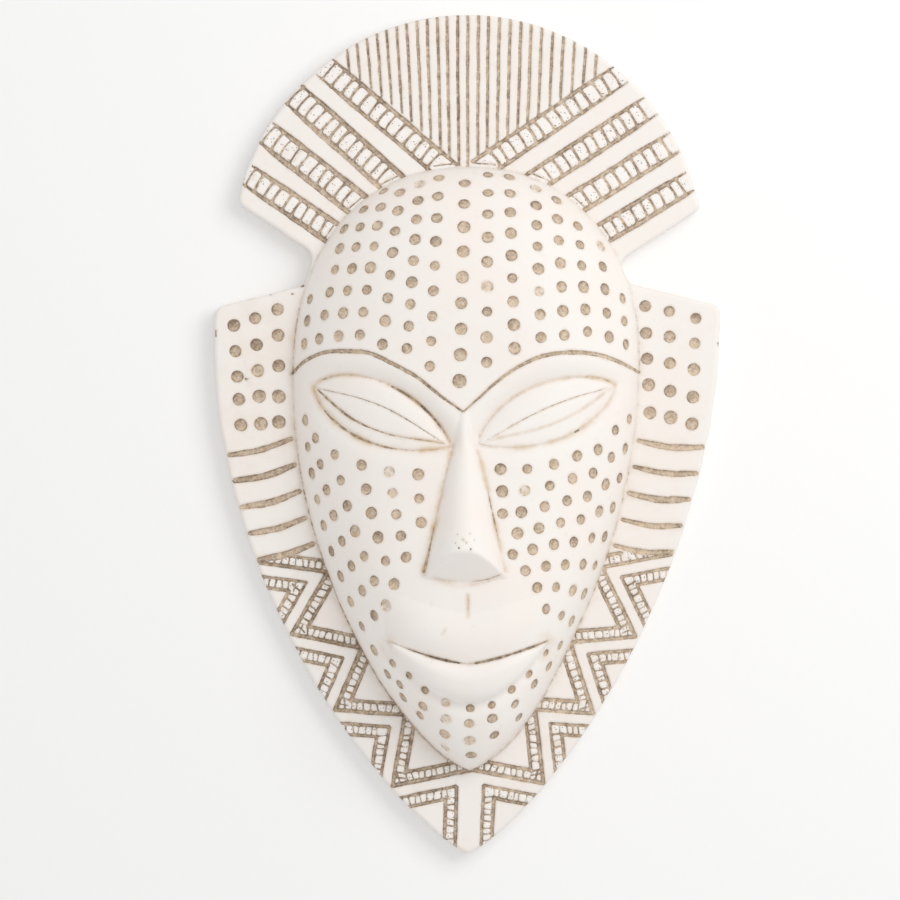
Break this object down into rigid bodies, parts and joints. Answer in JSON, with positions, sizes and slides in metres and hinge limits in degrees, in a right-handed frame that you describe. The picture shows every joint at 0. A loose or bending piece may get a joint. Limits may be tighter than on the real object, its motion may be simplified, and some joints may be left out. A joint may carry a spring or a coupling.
{
  "type": "decorative wall mask",
  "caption": "Wall mask cast in one piece: hollow domed face with dotted skin, closed eyes and full lips on a flat plate with a fluted round crest and a pointed shield with zigzag carving",
  "frame": {"origin": "middle of the flat back, on the plane the mask lies on", "axes": "+X the viewer's right, +Y from the shield's tip up to the crest, +Z out of the face; the mask lies face up"},
  "size_m": [0.2115, 0.35, 0.065],
  "materials": {
    "resin": "matt off-white casting resin with a brown wash left in the carving"
  },
  "bodies": {
    "root": {"mask": "resin"}
  },
  "joints": []
}
